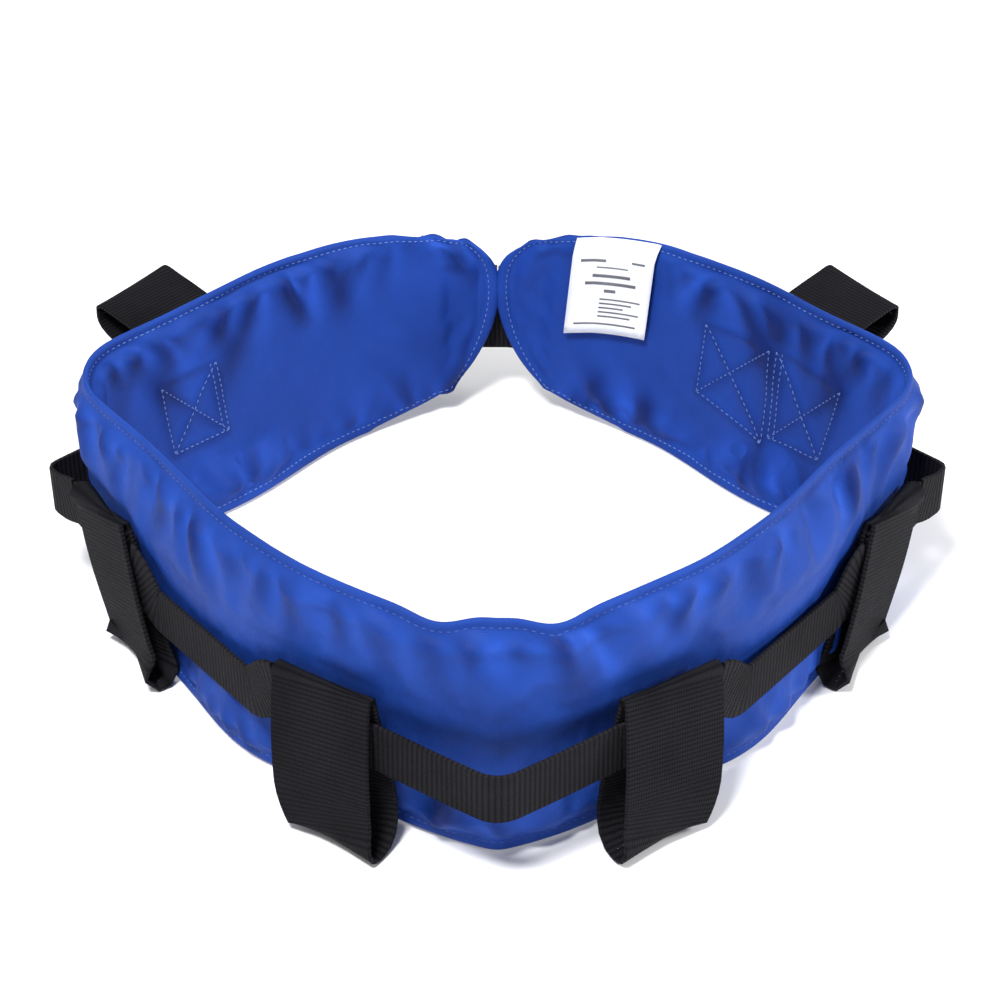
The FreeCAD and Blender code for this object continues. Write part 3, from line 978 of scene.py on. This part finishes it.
strap_piece("strap_rear_run_left", left_rear_route(), 3.1, lambda t: MIDDLE, "left_half", ["strap_rear_left"])
strap_piece("strap_rear_run_right", right_rear_route(), 3.1, lambda t: MIDDLE, "right_half",
            ["strap_rear_right"])
guard_route = [place(-488, 8.8)[0], Vector((7, 188.68, 0)), Vector((-27, 188.68, 0))]
strap_piece("guard_tab", guard_route, 18, lambda t: 51.0, "right_half", ["buckle_guard"], width=38.0)

# ---------------------------------------------------------------- buckle and label
for node in ("buckle_socket", "buckle_plug", "buckle_prong_upper", "buckle_prong_lower"):
    for material_slot in bpy.data.objects[node].material_slots:
        material_slot.material = BUCKLE


def rim_height(along):
    """Height of the rim at a place along the wall."""
    return float(np.interp(abs(along), [p[0] for p in TOP_LINE], [p[1] for p in TOP_LINE]))


def lining_inside(along, z, reach=4.0):
    """How far in, mm, the pad comes around a place, so that a sheet laid there clears it."""
    best = 5.5
    for step in (-reach, 0.0, reach):
        for drop in (0.0, 4.0, 8.0):
            found = on_pad(along + step, min(z, rim_height(along) - 9) - drop + 4, True)
            if found:
                plan, outward = place(along + step)
                hit = found[0] / MM
                best = max(best, -(Vector((hit.x, hit.y, 0)) - plan).dot(outward))
    return best


def surface_sheet(name, along, width, top, drop, tilt, lift, material, body, steps=12, thick=0.35):
    """A small thin sheet that lies on the inside of the pad, its top given below the rim; tilt leans it."""
    vertices, faces = [], []
    for layer in (lift, lift + thick):
        for i in range(steps + 1):
            for j in range(steps + 1):
                a = along + width * (i / steps - 0.5) + tilt * j / steps
                rim = rim_height(a) + rim_rise(a, rim_height(a))
                z = rim - top - drop * j / steps
                edge = smooth((z - rim + 8) / 8)
                inward = lining_inside(a, z) * (1 - edge) + ROLL * edge
                vertices.append(spot(a, rim_lean(a, z) * edge - inward - layer, z))
    side = steps + 1
    for layer in (0, 1):
        for i in range(steps):
            for j in range(steps):
                a = layer * side * side + i * side + j
                quad = [a, a + side, a + side + 1, a + 1]
                faces.append(quad if layer else quad[::-1])
    edge = [i * side for i in range(side)] + [steps * side + j for j in range(1, side)]
    edge += [i * side + steps for i in range(steps - 1, -1, -1)] + list(range(steps - 1, 0, -1))
    for a, b in zip(edge, edge[1:] + edge[:1]):
        faces.append([a, b, b + side * side, a + side * side])
    piece = make_piece(name, vertices, faces, material, body)
    bm = bmesh.new()
    bm.from_mesh(piece.data)
    bmesh.ops.recalc_face_normals(bm, faces=bm.faces)
    bm.to_mesh(piece.data)
    bm.free()
    return piece


label = surface_sheet("care_tag", LABEL_MIDDLE + 0.5, LABEL_WIDTH + 1.5, LABEL_TOP, LABEL_DROP, LABEL_TILT,
                      0.3, LABEL, "right_half")
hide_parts("care_label")


def label_marks():
    """Plain grey bars on the label, in rows: (start, end, drop, height) in mm on the label."""
    rows = [(5, 20, 11, 1.6), (36, 44, 11, 1.2), (15, 34, 15.5, 0.7), (13, 36, 20, 1.8), (9, 40, 24.5, 1.8),
            (21, 28, 29, 1.8)]
    rows += [(19, 44 - 5 * (k % 3), 34.5 + 2.6 * k, 0.9) for k in range(5)]
    rows += [(5, 43, 49.5, 1.0)]
    for number, (start, end, drop, height) in enumerate(rows):
        middle = LABEL_MIDDLE + (start + end - LABEL_WIDTH) / 2 + LABEL_TILT * drop / LABEL_DROP
        surface_sheet("label_bar_%02d" % (number + 1), middle, end - start, drop + LABEL_TOP, height, 0, 0.68,
                      LABEL_MARK, "right_half", 6, 0.08)


label_marks()

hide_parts(*[n + "_" + s for n in ("outer_cover", "inner_lining", "foam_core", "seam_allowance")
                   for s in ("left", "right")])
bend_at_front(pad, lambda number: pad.data.attributes["place"].data[number].vector.x > 0)
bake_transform(strap_front, "right_half", "left_half", start=(0.04, -0.2, 0), end=(-0.04, -0.2, 0))


# ---------------------------------------------------------------- floor, light and camera
def floor():
    mesh = bpy.data.meshes.new("floor")
    size = 6
    mesh.from_pydata([(-size, -size, -0.0005), (size, -size, -0.0005), (size, size, -0.0005),
                      (-size, size, -0.0005)], [], [(0, 1, 2, 3)])
    s = Shader("floor", (0.93, 0.93, 0.94, 1), 0.75)
    mesh.materials.append(s.material)
    plane = bpy.data.objects.new("floor", mesh)
    bpy.context.collection.objects.link(plane)


def area_light(name, location, target, size, power):
    data = bpy.data.lights.new(name, "AREA")
    data.shape = "DISK"
    data.size = size
    data.energy = power
    lamp = bpy.data.objects.new(name, data)
    lamp.location = location
    lamp.rotation_euler = (Vector(target) - Vector(location)).to_track_quat("-Z", "Y").to_euler()
    bpy.context.collection.objects.link(lamp)


floor()
area_light("key", (-0.35, -0.75, 1.6), (0, 0, 0.05), 0.4, 38)
area_light("left", (-1.5, -0.1, 0.7), (0, 0, 0.05), 0.6, 2.5)
area_light("right", (1.5, -0.1, 0.8), (0, 0, 0.05), 0.4, 20)
area_light("back", (0.0, 1.6, 1.5), (0, 0, 0.05), 1.6, 7)
bpy.context.scene.view_settings.view_transform = "Standard"
world = bpy.data.worlds.new("studio")
world.use_nodes = True
world.node_tree.nodes["Background"].inputs["Color"].default_value = (1, 1, 1, 1)
world.node_tree.nodes["Background"].inputs["Strength"].default_value = 0.47
bpy.context.scene.world = world

camera_data = bpy.data.cameras.new("camera")
camera_data.lens = 82.4
camera_data.sensor_width = 36
camera_data.shift_x = 0.0025
camera = bpy.data.objects.new("camera", camera_data)
target = Vector((0, 0.0005, 0.060))
elevation = math.radians(35)
camera.location = target + Vector((0, -math.cos(elevation), math.sin(elevation))) * 1.1
camera.rotation_euler = (target - camera.location).to_track_quat("-Z", "Y").to_euler()
bpy.context.collection.objects.link(camera)
bpy.context.scene.camera = camera
